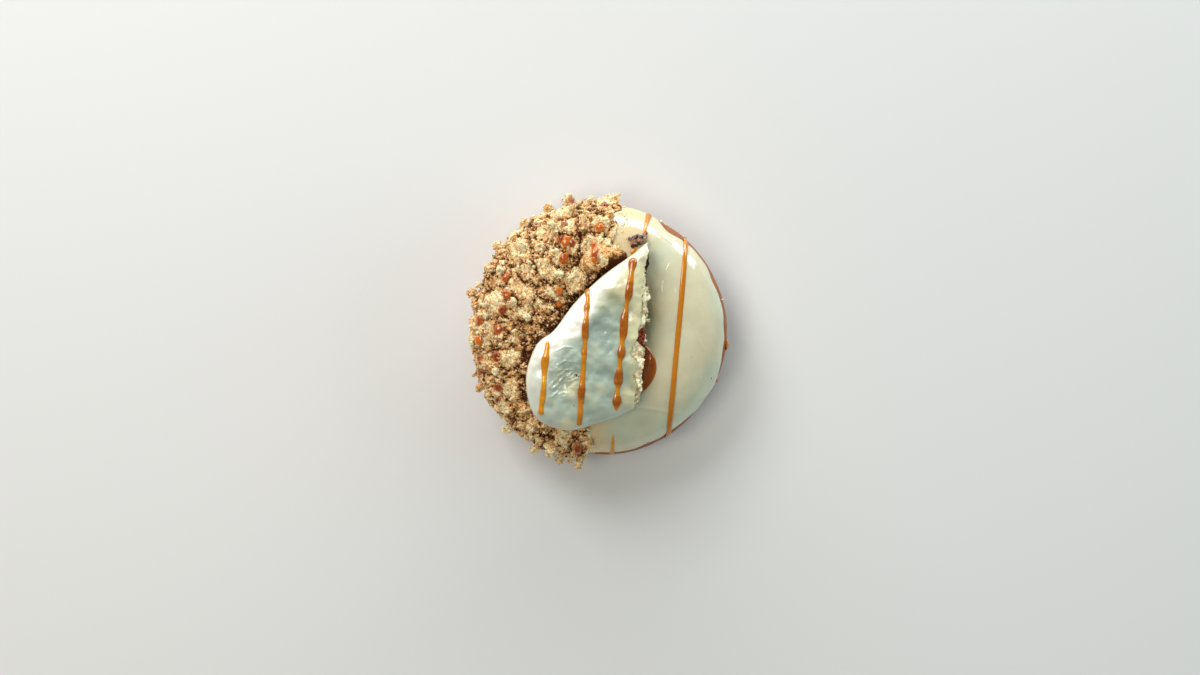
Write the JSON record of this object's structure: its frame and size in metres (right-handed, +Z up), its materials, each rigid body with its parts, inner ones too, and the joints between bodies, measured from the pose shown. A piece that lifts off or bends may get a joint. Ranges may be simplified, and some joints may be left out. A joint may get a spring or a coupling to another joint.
{
  "type": "doughnut",
  "caption": "Iced ring doughnut, half coated in biscuit crumble, with caramel drizzle and a broken piece of white-coated sandwich biscuit lying over the hole.",
  "frame": {"origin": "middle of the bounding box in plan, on the surface that the doughnut stands on", "axes": "+Z up along the ring's axis, +Y towards the top of the picture, +X towards the iced half"},
  "size_m": [0.0996, 0.1052, 0.0508],
  "materials": {
    "fried_dough": "fried dough, golden brown with a pale band round the middle",
    "icing": "glossy set white icing",
    "crumble": "dry sandy biscuit crumble",
    "coating": "glossy uneven white coating",
    "biscuit": "dry crumbly biscuit",
    "caramel_filling": "sticky dark caramel",
    "caramel": "wet amber caramel sauce",
    "dark_scrap": "semi-gloss dark brown"
  },
  "bodies": {
    "root": {"dough": "fried_dough", "icing": "icing", "crumble": "crumble", "coating": "coating", "biscuit_base": "biscuit", "caramel_filling": "caramel_filling", "biscuit_top": "biscuit", "caramel_pool": "caramel", "dark_scrap": "dark_scrap"}
  },
  "joints": []
}
